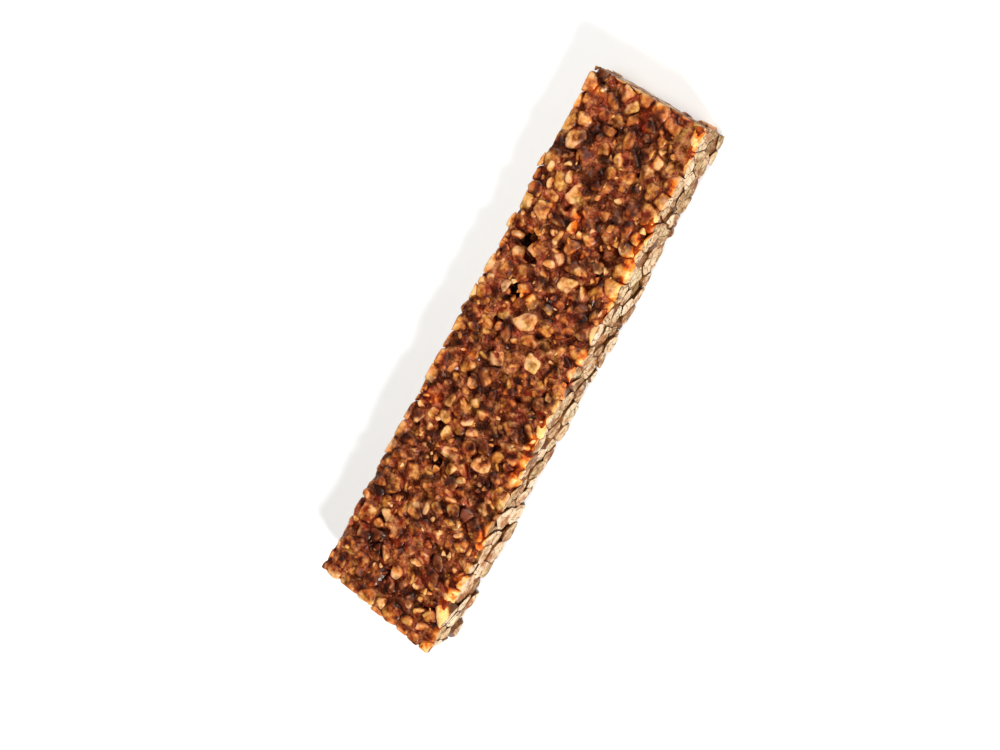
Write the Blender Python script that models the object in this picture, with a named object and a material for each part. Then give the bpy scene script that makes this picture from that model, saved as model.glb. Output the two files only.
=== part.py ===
"""A bar of nut brittle: chopped roasted nuts set in dark caramel, rolled flat and cut with a knife.

The bar is one solid. It lies on its underside with the rolled face up, its length along +Y and the
origin in the middle of its underside. The caramel is a core whose surface lies a little inside the
bar's faces, and the nut pieces that show are fused on to it at their true size. Each piece is one
cell of a loose packing of chopped nuts, so that pieces fit each other as rolled ones do: whole on
the rolled face, and cut flat on the four knife-cut sides.
"""

import math
import random

import bmesh
import bpy
from mathutils import Vector, kdtree

# The bar
LENGTH = 0.1260
WIDTH = 0.0300
THICKNESS = 0.0115

# How far each corner of the hand-cut bar lies from a true box's, in x and y. The keys are the signs
# of the corner's x and y, and its face: 0 is the underside and 1 the rolled face.
CORNER_SHIFTS = {
    (-1, -1, 0): (-0.0006, 0.0012),
    (1, -1, 0): (0.0003, 0.0020),
    (-1, 1, 0): (0.0009, 0.0004),
    (1, 1, 0): (-0.0002, 0.0001),
    (-1, -1, 1): (-0.0011, -0.0001),
    (1, -1, 1): (0.0006, -0.0010),
    (-1, 1, 1): (0.0012, 0.0005),
    (1, 1, 1): (-0.0008, 0.0004),
}

# The packing of nut pieces: the radius of each size, largest first, and how many drops it gets
PIECE_SIZES = ((0.0026, 150), (0.0021, 3000), (0.0017, 9000), (0.0013, 15000))
OVERLAP = 0.86  # how near two pieces' middles may come, as a share of their radii's sum
EDGE_MARGIN = 0.0030  # the packing runs this far past the knife cuts, which then go through pieces
FACE_MARGIN = 0.5  # a middle stays this many radii inside the underside and the rolled face
SEED = 11
PIECE_SEEDS = 100000  # seeds kept apart for one bar's pieces

# How the pieces lie
SEAM = 0.00022  # half the caramel seam between two pieces
TILT = 0.20  # the steepest slope of a piece's top against the rolled face
SHALLOW, DEEP = 0.00035, 0.0013  # how far below the rolled face most pieces and the deepest lie
DEEP_SHARE = 0.30
MISSING_SHARE = 0.05  # of the pieces on the rolled face, the share that fell out and left a pit
CHIPS = 2  # corners broken off a piece's top
CHIP_REACH = (0.45, 0.85)  # where a broken corner starts, in radii from the piece's middle
CHIP_SLOPES = (0.6, 1.3)
RAGGED_SHARE = 0.22  # of the pieces on a knife cut, the share that tore instead of being cut
TORN_STEPS = (-0.0003, 0.0007)  # where a torn piece ends, beyond the knife's plane
CUT_STEPS = (-0.0001, 0.0)

# The caramel core
CARAMEL_DROP = 0.0009  # how far it lies below the rolled face
SIDE_DROP = 0.00040  # how far it lies behind a knife cut
REST_HEIGHT = 0.0006  # the pieces start this far above the flat underside
FUSED_RADIUS = 0.0015  # a piece smaller than this is fused on only in the top layer
TOP_LAYER = 0.0012

# What a piece's shape needs to be worth its faces
START_SIDE = 4.4  # the side of the cube that a piece is cut from, in radii
NEIGHBOURS = 16
TOUCH = 1e-8
SMALLEST_EDGE = 0.0005  # corners of a piece nearer than this are made one
SMALLEST_VOLUME = 1e-9
LEAST_RELIEF = 0.00029  # how far it stands out of the core
LEAST_ROOT = 0.0004  # how far it reaches into the core

NODE = "brittle_bar"
BRITTLE_COLOUR = (0.24, 0.075, 0.022, 1.0)
BRITTLE_ROUGHNESS = 0.32


def packing():
    """(middle, radius) of every nut piece: each size in turn is dropped in wherever it still fits."""
    draw = random.Random(SEED)
    half_x = WIDTH / 2 + EDGE_MARGIN
    half_y = LENGTH / 2 + EDGE_MARGIN
    bucket_side = 2 * PIECE_SIZES[0][0]
    buckets = {}
    pieces = []
    for radius, drops in PIECE_SIZES:
        lowest = FACE_MARGIN * radius
        for _ in range(drops):
            height = draw.uniform(lowest, THICKNESS - lowest)
            middle = Vector((draw.uniform(-half_x, half_x), draw.uniform(-half_y, half_y), height))
            i, j, k = (math.floor(c / bucket_side) for c in middle)
            near = [
                piece
                for a in (i - 1, i, i + 1)
                for b in (j - 1, j, j + 1)
                for c in (k - 1, k, k + 1)
                for piece in buckets.get((a, b, c), ())
            ]
            if all((middle - other).length > OVERLAP * (radius + reach) for other, reach in near):
                pieces.append((middle, radius))
                buckets.setdefault((i, j, k), []).append((middle, radius))
    return pieces


def seam_planes(pieces, index, tree):
    """(point, outward normal) of the planes that part this piece from its neighbours."""
    middle, radius = pieces[index]
    planes = []
    for _, other, gap in tree.find_n(middle, NEIGHBOURS)[1:]:
        normal = (pieces[other][0] - middle) / gap
        share = (gap * gap + radius * radius - pieces[other][1] ** 2) / (2 * gap)
        planes.append((middle + normal * (share - SEAM), normal))
    return planes


def tilted(slope, turn):
    """A unit normal that leans from +Z by the slope, towards the turn."""
    return Vector((slope * math.cos(turn), slope * math.sin(turn), 1.0)).normalized()


def top_planes(middle, radius, draw):
    """The planes that shape a piece on the rolled face: its sloping top, then its broken corners."""
    deep = draw.random() < DEEP_SHARE
    drop = draw.uniform(SHALLOW, DEEP) if deep else draw.uniform(0.0, SHALLOW)
    crown = Vector((middle.x, middle.y, THICKNESS - drop))
    planes = [(crown, tilted(draw.uniform(0.0, TILT), draw.uniform(0.0, math.tau)))]
    for _ in range(CHIPS):
        turn = draw.uniform(0.0, math.tau)
        reach = radius * draw.uniform(*CHIP_REACH)
        rim = crown + Vector((math.cos(turn), math.sin(turn), 0.0)) * reach
        planes.append((rim, tilted(draw.uniform(*CHIP_SLOPES), turn)))
    return planes


def cut_planes(draw):
    """The knife's four planes as this piece meets them: a torn piece stands out or is broken back."""
    planes = []
    for normal, reach in (
        (Vector((1, 0, 0)), WIDTH / 2),
        (Vector((-1, 0, 0)), WIDTH / 2),
        (Vector((0, 1, 0)), LENGTH / 2),
        (Vector((0, -1, 0)), LENGTH / 2),
    ):
        torn = draw.random() < RAGGED_SHARE
        step = draw.uniform(*TORN_STEPS) if torn else draw.uniform(*CUT_STEPS)
        planes.append((normal * (reach + step), normal))
    return planes


def hull_of(shape):
    """The shape with corners that nearly meet made one, closed again by a convex hull, or None."""
    bmesh.ops.remove_doubles(shape, verts=shape.verts, dist=SMALLEST_EDGE)
    corners = [corner.co.copy() for corner in shape.verts]
    shape.free()
    hull = bmesh.new()
    for corner in corners:
        hull.verts.new(corner)
    made = bmesh.ops.convex_hull(hull, input=hull.verts)
    inside = [corner for corner in made["geom_interior"] if isinstance(corner, bmesh.types.BMVert)]
    bmesh.ops.delete(hull, geom=inside, context="VERTS")
    bmesh.ops.recalc_face_normals(hull, faces=hull.faces)
    if len(hull.faces) < 4 or hull.calc_volume() < SMALLEST_VOLUME:
        hull.free()
        return None
    return hull


def piece_shape(middle, radius, planes):
    """A closed bmesh of the space round the middle that lies inside every plane, or None."""
    shape = bmesh.new()
    bmesh.ops.create_cube(shape, size=START_SIDE * radius)
    bmesh.ops.translate(shape, verts=shape.verts, vec=middle)
    for point, normal in planes:
        sides = [(corner.co - point).dot(normal) for corner in shape.verts]
        if max(sides) < TOUCH:
            continue
        if min(sides) > -TOUCH:
            shape.free()
            return None
        cut = bmesh.ops.bisect_plane(
            shape,
            geom=shape.verts[:] + shape.edges[:] + shape.faces[:],
            dist=TOUCH,
            plane_co=point,
            plane_no=normal,
            clear_outer=True,
        )
        rim = [edge for edge in cut["geom_cut"] if isinstance(edge, bmesh.types.BMEdge)]
        bmesh.ops.edgeloop_fill(shape, edges=rim)
    return hull_of(shape)


def height_over_core(point):
    """How far the point stands out of the caramel core, or, if negative, lies inside it."""
    return max(
        point.z - (THICKNESS - CARAMEL_DROP),
        abs(point.x) - (WIDTH / 2 - SIDE_DROP),
        abs(point.y) - (LENGTH / 2 - SIDE_DROP),
    )


def shows_and_holds(shape):
    """Whether the piece stands out of the core far enough, and is rooted in it."""
    heights = [height_over_core(corner.co) for corner in shape.verts]
    return max(heights) > LEAST_RELIEF and min(heights) < -LEAST_ROOT


def nut_shapes():
    """The nut pieces that show, each as a closed bmesh."""
    pieces = packing()
    tree = kdtree.KDTree(len(pieces))
    for index, (middle, _) in enumerate(pieces):
        tree.insert(middle, index)
    tree.balance()
    floor = [(Vector((0, 0, REST_HEIGHT)), Vector((0, 0, -1)))]
    for index, (middle, radius) in enumerate(pieces):
        draw = random.Random(SEED * PIECE_SEEDS + index)
        missing = draw.random() < MISSING_SHARE and middle.z > THICKNESS / 2
        sunk = radius < FUSED_RADIUS and middle.z < THICKNESS - TOP_LAYER
        tops = top_planes(middle, radius, draw)
        cuts = cut_planes(draw)
        if missing or sunk:
            continue
        shape = piece_shape(middle, radius, seam_planes(pieces, index, tree) + tops + cuts + floor)
        if shape and shows_and_holds(shape):
            yield shape


def core_box():
    """The caramel core, as a mesh a little inside the rolled face and the knife cuts."""
    shape = bmesh.new()
    bmesh.ops.create_cube(shape, size=1.0)
    size = Vector((WIDTH - 2 * SIDE_DROP, LENGTH - 2 * SIDE_DROP, THICKNESS - CARAMEL_DROP))
    for corner in shape.verts:
        corner.co = Vector((corner.co.x * size.x, corner.co.y * size.y, (corner.co.z + 0.5) * size.z))
    return shape


def hand_cut(point):
    """The point moved as the bar's corners are, each corner counting by how near the point is."""
    across = 0.5 + point.x / WIDTH
    along = 0.5 + point.y / LENGTH
    up = point.z / THICKNESS
    moved = point.copy()
    for (x, y, face), (shift_x, shift_y) in CORNER_SHIFTS.items():
        share_x = across if x > 0 else 1 - across
        share_y = along if y > 0 else 1 - along
        weight = share_x * share_y * (up if face else 1 - up)
        moved.x += shift_x * weight
        moved.y += shift_y * weight
    return moved


def new_object(name, shape, collection):
    """The bmesh as an object in the collection."""
    mesh = bpy.data.meshes.new(name)
    shape.to_mesh(mesh)
    shape.free()
    made = bpy.data.objects.new(name, mesh)
    collection.objects.link(made)
    return made


def fuse(bar, pieces):
    """Joins the collection's objects on to the bar by one Boolean union, and removes them."""
    union = bar.modifiers.new("fuse", "BOOLEAN")
    union.operation = "UNION"
    union.operand_type = "COLLECTION"
    union.collection = pieces
    graph = bpy.context.evaluated_depsgraph_get()
    fused = bpy.data.meshes.new_from_object(bar.evaluated_get(graph))
    bar.modifiers.remove(union)
    bar.data = fused
    for piece in list(pieces.objects):
        bpy.data.objects.remove(piece)
    bpy.data.collections.remove(pieces)


def brittle_material():
    paint = bpy.data.materials.new("brittle")
    paint.use_nodes = True
    shader = paint.node_tree.nodes["Principled BSDF"]
    shader.inputs["Base Color"].default_value = BRITTLE_COLOUR
    shader.inputs["Roughness"].default_value = BRITTLE_ROUGHNESS
    return paint


def main():
    for old in list(bpy.data.objects):
        bpy.data.objects.remove(old)
    scene_collection = bpy.context.scene.collection
    nuts = bpy.data.collections.new("nuts")
    scene_collection.children.link(nuts)
    for number, shape in enumerate(nut_shapes()):
        new_object(f"nut_{number}", shape, nuts)
    bar = new_object(NODE, core_box(), scene_collection)
    fuse(bar, nuts)
    for corner in bar.data.vertices:
        corner.co = hand_cut(corner.co)
    bar.data.materials.clear()
    bar.data.materials.append(brittle_material())


main()
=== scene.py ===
"""Looks of the nut brittle bar: chopped roasted nuts in glossy dark caramel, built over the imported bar.

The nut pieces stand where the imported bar's pieces stand, because both come from the same packing.
Each is a chunk with rounded edges, cut flat where the knife went through it, and small fragments
fill the gaps of the rolled face. The caramel is one surface round them all. Sizes are in metres, in
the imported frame: +Z comes out of the rolled face, +Y runs along the bar and +X comes out of the pale
knife-cut side.
"""

import itertools
import math
import random

import bmesh
import bpy
import numpy as np
from mathutils import Matrix, Vector, kdtree


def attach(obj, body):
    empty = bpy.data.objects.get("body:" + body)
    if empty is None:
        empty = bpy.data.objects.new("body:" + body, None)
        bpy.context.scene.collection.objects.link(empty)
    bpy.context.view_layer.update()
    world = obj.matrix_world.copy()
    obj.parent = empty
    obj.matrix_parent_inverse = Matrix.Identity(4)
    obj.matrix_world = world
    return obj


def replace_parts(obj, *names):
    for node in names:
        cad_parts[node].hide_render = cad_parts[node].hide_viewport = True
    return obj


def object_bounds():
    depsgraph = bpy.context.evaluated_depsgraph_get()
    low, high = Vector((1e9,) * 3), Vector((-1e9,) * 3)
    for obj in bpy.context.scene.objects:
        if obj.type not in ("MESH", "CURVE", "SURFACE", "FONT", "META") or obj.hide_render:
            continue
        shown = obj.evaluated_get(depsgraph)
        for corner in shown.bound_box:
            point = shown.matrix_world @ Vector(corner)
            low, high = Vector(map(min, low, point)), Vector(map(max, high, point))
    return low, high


MM = 0.001

# The bar and its packing of nut pieces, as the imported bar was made
NODE = "brittle_bar"
BODY = "root"
LENGTH, WIDTH, THICKNESS = 0.1260, 0.0300, 0.0115
CORNER_SHIFTS = {  # how far each corner lies from a true box's, in x and y
    (-1, -1, 0): (-0.0006, 0.0012),
    (1, -1, 0): (0.0003, 0.0020),
    (-1, 1, 0): (0.0009, 0.0004),
    (1, 1, 0): (-0.0002, 0.0001),
    (-1, -1, 1): (-0.0011, -0.0001),
    (1, -1, 1): (0.0006, -0.0010),
    (-1, 1, 1): (0.0012, 0.0005),
    (1, 1, 1): (-0.0008, 0.0004),
}
PIECE_SIZES = ((0.0026, 150), (0.0021, 3000), (0.0017, 9000), (0.0013, 15000))  # radius and drops
OVERLAP = 0.86  # two middles' least distance, as a share of both radii
EDGE_MARGIN = 0.0030
FACE_MARGIN = 0.5
SEED = 11
PIECE_SEEDS = 100000
TILT = 0.20
SHALLOW, DEEP = 0.00035, 0.0013
DEEP_SHARE = 0.30
MISSING_SHARE = 0.05
CHIPS = 2
CHIP_REACH = (0.45, 0.85)
CHIP_SLOPES = (0.6, 1.3)
RAGGED_SHARE = 0.22
TORN_STEPS = (-0.0003, 0.0007)
CUT_STEPS = (-0.0001, 0.0)
NEIGHBOURS = 22  # how many of the nearest pieces are looked at, the piece itself among them
KNIVES = (  # the way each knife cut faces, and how far out it lies
    ((1, 0, 0), WIDTH / 2),
    ((-1, 0, 0), WIDTH / 2),
    ((0, 1, 0), LENGTH / 2),
    ((0, -1, 0), LENGTH / 2),
)

# The pieces' own detail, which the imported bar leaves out
CUT_SEAM = 0.09 * MM  # half the seam between pieces that the knife went through
SEAM = 0.08 * MM  # half the least gap between other pieces
GAP_SPREAD = 0.18 * MM  # how much wider than that the half gap can be
BREAK_REACH = (0.60, 1.10)  # how far from its middle the plane that breaks a piece is, in radii
SPLIT_SHARE = 0.35  # of the larger pieces, the share that split in two
SPLIT_RADIUS = 1.9 * MM
SPLIT_GAP = 0.10 * MM
SPLIT_RISE = 0.4  # the share of its rise that the way across a split keeps
SPLIT_OFFSETS = (-0.3, 0.3)  # how far from its middle a piece splits, in radii
SPLIT_DROPS = (0.0, 0.7)  # how far down the second half's top is, in millimetres
SPLIT_SLOPES = (0.1, 0.5)
FOOT_STEPS = (0.0, 0.25)  # how far above the underside a piece's foot is, in millimetres
SOFTNESS = 0.10 * MM  # how soft a piece's edges are
LEAST_MARGIN = 0.25 * MM  # a piece in which no ball of this radius fits is left out
CENTRING_MOVES = np.geomspace(0.3, 0.01, 60) * MM
LEAST_FACING = 0.1  # how far a plane's normal goes a knife's way, if it faces that knife
ASKEW = 0.085  # how far a cut piece is turned from the knife's plane, in radians
FAR = 1.0  # the offset of a plane that bounds nothing
SUNK = 1.0 * MM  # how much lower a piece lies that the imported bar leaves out, beside a cut
HOLE_SHARE = 0.8  # of the other pieces left out, the share that left an empty hole
CELL_REACH = 1.5  # how far a piece's corners lie from its middle, in radii

# The pale side, which the knife left uneven
SHOWN_STEPS = (-0.40 * MM, 0.50 * MM)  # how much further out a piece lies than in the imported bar
MOST_STEP = 0.70 * MM
UPPER_REACH, LOWER_REACH = 1.2, 1.4  # how near an edge a piece with a broken corner is, in radii
UPPER_BREAKS = (-0.5 * MM, 1.7 * MM)  # how far from its upper edge a piece's broken corner starts
LOWER_BREAKS = (-0.8 * MM, 0.8 * MM)
BREAK_RISES = (0.4, 1.1)  # how far that corner faces up or down, in radians
BREAK_TURN = 0.7  # and how far along the bar
FOOT_REACH = 2  # how near the underside a cut piece with a chipped foot is, in radii

# The fragments in the gaps of the rolled face: the radius of each size and how many are tried
FRAGMENT_SIZES = ((1.70 * MM, 400), (1.20 * MM, 1000), (0.85 * MM, 1800), (0.50 * MM, 4000))
FRAGMENT_SPACING = 0.85  # as a share of two fragments' radii
FRAGMENT_LIFT = 0.20  # how far its middle is above what it lies on, in radii
FRAGMENT_ROOM = 0.7  # and how far below the rolled face at least
FRAGMENT_RISE = 0.3  # the share of its rise that its long way keeps
FRAGMENT_BREAKS = 13
FRAGMENT_REACH = (0.75, 1.1)  # how far out a break is along its long way, in radii
FRAGMENT_WAIST, FRAGMENT_GAIN = 0.42, 0.58  # the share of it across, and what that way adds
BOX_WAYS = ((1, 0, 0), (-1, 0, 0), (0, 1, 0), (0, -1, 0), (0, 0, 1), (0, 0, -1))
FRAGMENT_MARGIN = 0.12 * MM
GAP_DEPTH = 0.85 * MM  # a gap is where the surface lies this far below the rolled face
STRAY_SHARE = 0.03  # of the fragments tried on a whole piece, the share that stuck to it

# The slivers that stuck to the rolled face: their number, and half their length, width and thickness
SLIVERS = 190
SLIVER_HALVES = ((0.6 * MM, 1.3 * MM), (0.22 * MM, 0.42 * MM), (0.14 * MM, 0.22 * MM))
SLIVER_LEAN = 0.35
SLIVER_ASKEW = 0.35  # how far its faces are from square
SLIVER_MARGIN = 0.5 * SLIVER_HALVES[2][0]

# The grid that the caramel is made on, and how far past the bar it runs
GRID = 0.43 * MM
GRID_SIDE, GRID_BELOW, GRID_ABOVE = 1.0 * MM, 0.9 * MM, 1.2 * MM
PIECE_REACH = 2.1  # how far from its middle a piece counts, in radii
MOST_POWER = 80  # exponents stop here, before they overflow
EMPTY_TOTAL, TINY = 1e-8, 1e-9
LAST_CELL = 1.001  # keeps a sample within the grid's last cell
SEED_SHIFT = 0.37  # how far each seed shifts the noise, in its own size

# The caramel. Names that end in _MM are in millimetres
BLEND = 0.26 * MM  # how far it creeps up between two pieces
CORE_DROP = 1.5 * MM  # how far below the rolled face its deepest pits are
LEVEL_DROP = 0.27 * MM  # how far it lies below the smoothed tops of the nuts, on average
PIT_DEPTH = 1.1 * MM
PAINTED_SHADE_DEPTH = 1.3 * MM  # how far below the rolled face the caramel's painted shade starts to turn black
NOISES = ((6 * MM, 21), (1.6 * MM, 22), (2.6 * MM, 23))  # size and seed: wide, fine, and its pits'
PIT_SLOPE, PIT_START = 3, 0.9  # how steep a pit's wall is, and how rare pits are
LEVEL_WIDE_MM, LEVEL_FINE_MM = 0.45, 0.15  # how much its level wanders
HOLE_DEPTH = 2.2 * MM  # how much further down it lies where a piece fell out
CORE_SIDE = 0.9 * MM
FILM = 0.21 * MM  # how far its surface lies inside the pieces' own, on average
FILM_WIDE_MM, FILM_FINE_MM = 0.24, 0.16  # how much that wanders
FILM_RIM_MM, FILM_CORNER_MM = 0.10, 0.10  # how much less it is at the rim, and near one corner
RIM = 2 * MM
CORNER, CORNER_REACH = (WIDTH / 3, 0.42 * LENGTH), 8 * MM
TRIM_MM, TRIM_SHOWN_MM, TRIM_FINE_MM = 0.08, 0.08, 0.08  # how far behind the knife cuts it ends
BASE_MM, BASE_FINE_MM, BASE_RIM_MM = 0.08, 0.06, 0.5  # how far above the underside it starts

# The meshes: icosphere levels, and the ways that rays are gathered
LARGE_BALL, SMALL_BALL, COARSE_BALL = 4, 3, 2
LEAN_UP, LEAN_OUT, LEAN_LITTLE, LEAN_DOWN = (0, 0, 0.35), (0.3, 0, 0.1), (0, 0, 0.2), (0, 0, -0.3)
LARGE_RADIUS, LARGE_FRAGMENT = 1.8 * MM, 0.7 * MM
SHOWN_DEPTH = 1.9 * MM  # a top deeper than this doesn't show
SPARE = 0.3 * MM  # a piece this near a cut or the underside counts as reaching it
SURFACE_STEPS, LEAST_RATE, LEAST_SLOPE, LEAST_REACH = 6, 1e-6, 0.05, 0.1 * MM
COARSE, COARSE_MM = (1.1 * MM, 3), 0.11  # a piece's roughness: size and seed, and height
GRAIN, GRAIN_MM = (0.45 * MM, 5), 0.06
PIECE_APART = 0.01  # gives each piece its own coarse roughness
BATCH = 60  # about how many pieces are worked out at once
CUT_MERGE = 1e-7
HUE_SEED, TONE_SEED = 9, 5
NUT_TONES, FRAGMENT_TONES, SLIVER_TONES = (1.7, 1.7), (1.2, 2.6), (3.0, 1.5)  # beta distributions

# Painted light: the glow of light that shines through along the top edge of the pale side, by tone
PAINTED_GLOW = {0.0: "4e0c00", 0.3: "902c02", 0.5: "c2580a", 0.75: "d8822c", 1.0: "ecb870"}
GLOW_DEPTH = 3.2 * MM  # how far below the rolled face it ends

# The camera, the floor and the lights
SENSOR, NEAREST = 36.0, 0.01
LENS_SHARE = 1.75  # the lens's length over the frame's width
CAMERA_AZIMUTH, CAMERA_ELEVATION, CAMERA_ROLL = -121.87, 62.93, 90.84
CAMERA_DISTANCE = 0.3775
LOOK_AT = Vector((-0.00223, -0.00428, 0.00557))
FLOOR_SIZE = 3.0
WORLD_STRENGTH = 0.22
LIGHTS = (  # name, place, size and power
    ("key", (0.55, -0.25, 0.42), 0.15, 6.6),
    ("fill", (0.05, 0.15, 0.8), 0.5, 3.5),
    ("back", (-0.35, 0.65, 0.45), 0.4, 4.0),
)

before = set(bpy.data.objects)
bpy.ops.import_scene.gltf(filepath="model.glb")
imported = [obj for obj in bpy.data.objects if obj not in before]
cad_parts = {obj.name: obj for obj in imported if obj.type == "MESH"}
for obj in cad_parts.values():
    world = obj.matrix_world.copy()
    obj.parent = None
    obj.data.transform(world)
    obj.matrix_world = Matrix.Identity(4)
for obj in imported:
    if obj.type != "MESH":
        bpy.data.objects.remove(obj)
cad_low, cad_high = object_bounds()


def nearby(buckets, cell):
    """All that a cell's bucket and those round it hold."""
    cells = itertools.product(*((i - 1, i, i + 1) for i in cell))
    return [held for near in cells for held in buckets.get(near, ())]


def packing():
    """(middle, radius) of every nut piece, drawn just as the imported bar's were."""
    draw = random.Random(SEED)
    half_x = WIDTH / 2 + EDGE_MARGIN
    half_y = LENGTH / 2 + EDGE_MARGIN
    bucket_side = 2 * PIECE_SIZES[0][0]
    buckets = {}
    pieces = []
    for radius, drops in PIECE_SIZES:
        lowest = FACE_MARGIN * radius
        for _ in range(drops):
            height = draw.uniform(lowest, THICKNESS - lowest)
            middle = Vector((draw.uniform(-half_x, half_x), draw.uniform(-half_y, half_y), height))
            cell = tuple(math.floor(c / bucket_side) for c in middle)
            near = nearby(buckets, cell)
            if all((middle - other).length > OVERLAP * (radius + reach) for other, reach in near):
                pieces.append((middle, radius))
                buckets.setdefault(cell, []).append((middle, radius))
    return pieces


def tilted(slope, turn):
    """A unit normal that leans from +Z by the slope, towards the turn."""
    return Vector((slope * math.cos(turn), slope * math.sin(turn), 1.0)).normalized()


def shape_draws(index, middle, radius):
    """(fell out, top planes, knife steps) of one piece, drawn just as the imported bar's were."""
    draw = random.Random(SEED * PIECE_SEEDS + index)
    fell_out = draw.random() < MISSING_SHARE and middle.z > THICKNESS / 2
    deep = draw.random() < DEEP_SHARE
    drop = draw.uniform(SHALLOW, DEEP) if deep else draw.uniform(0.0, SHALLOW)
    crown = Vector((middle.x, middle.y, THICKNESS - drop))
    planes = [(crown, tilted(draw.uniform(0.0, TILT), draw.uniform(0.0, math.tau)))]
    for _ in range(CHIPS):
        turn = draw.uniform(0.0, math.tau)
        reach = radius * draw.uniform(*CHIP_REACH)
        rim = crown + Vector((math.cos(turn), math.sin(turn), 0.0)) * reach
        planes.append((rim, tilted(draw.uniform(*CHIP_SLOPES), turn)))
    steps = []
    for _ in KNIVES:
        torn = draw.random() < RAGGED_SHARE
        steps.append(draw.uniform(*TORN_STEPS) if torn else draw.uniform(*CUT_STEPS))
    return fell_out, planes, steps


def any_direction(draw):
    """A unit vector in any direction."""
    return Vector((draw.gauss(0, 1), draw.gauss(0, 1), draw.gauss(0, 1))).normalized()


class Chunks:
    """The nut pieces: each is the space inside its planes. pack() turns the lists into arrays."""

    def __init__(self):
        self.middles, self.radii, self.planes, self.steps = [], [], [], []

    def add(self, middle, radius, planes, steps=(0, 0, 0, 0)):
        self.middles.append(tuple(middle))
        self.radii.append(radius)
        self.planes.append([(tuple(normal), point.dot(normal)) for point, normal in planes])
        self.steps.append(steps)

    def pack(self, least_margin):
        """Pads the planes with ones too far off to matter, and drops pieces with no room inside."""
        most = max(len(planes) for planes in self.planes)
        self.normals = np.zeros((len(self.planes), most, 3))
        self.offsets = np.full((len(self.planes), most), FAR)
        for row, planes in enumerate(self.planes):
            for column, (normal, offset) in enumerate(planes):
                self.normals[row, column] = normal
                self.offsets[row, column] = offset
        self.middles = np.array(self.middles)
        self.radii = np.array(self.radii)
        self.steps = np.array(self.steps)
        self.centre()
        roomy = -self.heights().max(axis=1) > least_margin
        for name in ("middles", "radii", "steps", "normals", "offsets"):
            setattr(self, name, getattr(self, name)[roomy])
        return self

    def heights(self):
        """How far each middle lies outside each of its planes."""
        return np.einsum("npk,nk->np", self.normals, self.middles) - self.offsets

    def centre(self):
        """Moves each middle to about the centre of the largest ball that fits in its piece."""
        rows = np.arange(len(self.middles))
        for move in CENTRING_MOVES:
            worst = self.heights().argmax(axis=1)
            self.middles = self.middles - move * self.normals[rows, worst]


def near_knife(middle, radius):
    """Whether a knife goes through a piece, or nearly does."""
    reach = CELL_REACH * radius
    return abs(middle.x) + reach > WIDTH / 2 or abs(middle.y) + reach > LENGTH / 2


def keeps_edges(normal, middle, radius):
    """Whether a plane across a piece leaves alone the edges that the knives made."""
    return all(
        middle.dot(Vector(knife)) + CELL_REACH * radius < reach
        or normal.dot(Vector(knife)) < LEAST_FACING
        for knife, reach in KNIVES
    )


def broken_corner(draw, edge, depths):
    """A plane across one of the pale side's long edges, through a point this far in from it."""
    rise, turn = draw.uniform(*BREAK_RISES), draw.uniform(-BREAK_TURN, BREAK_TURN)
    side = 1 if edge.z > 0 else -1
    flat = math.cos(rise)
    normal = Vector((flat * math.cos(turn), flat * math.sin(turn), side * math.sin(rise)))
    return edge - Vector((draw.uniform(*depths), 0, 0)), normal


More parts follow.
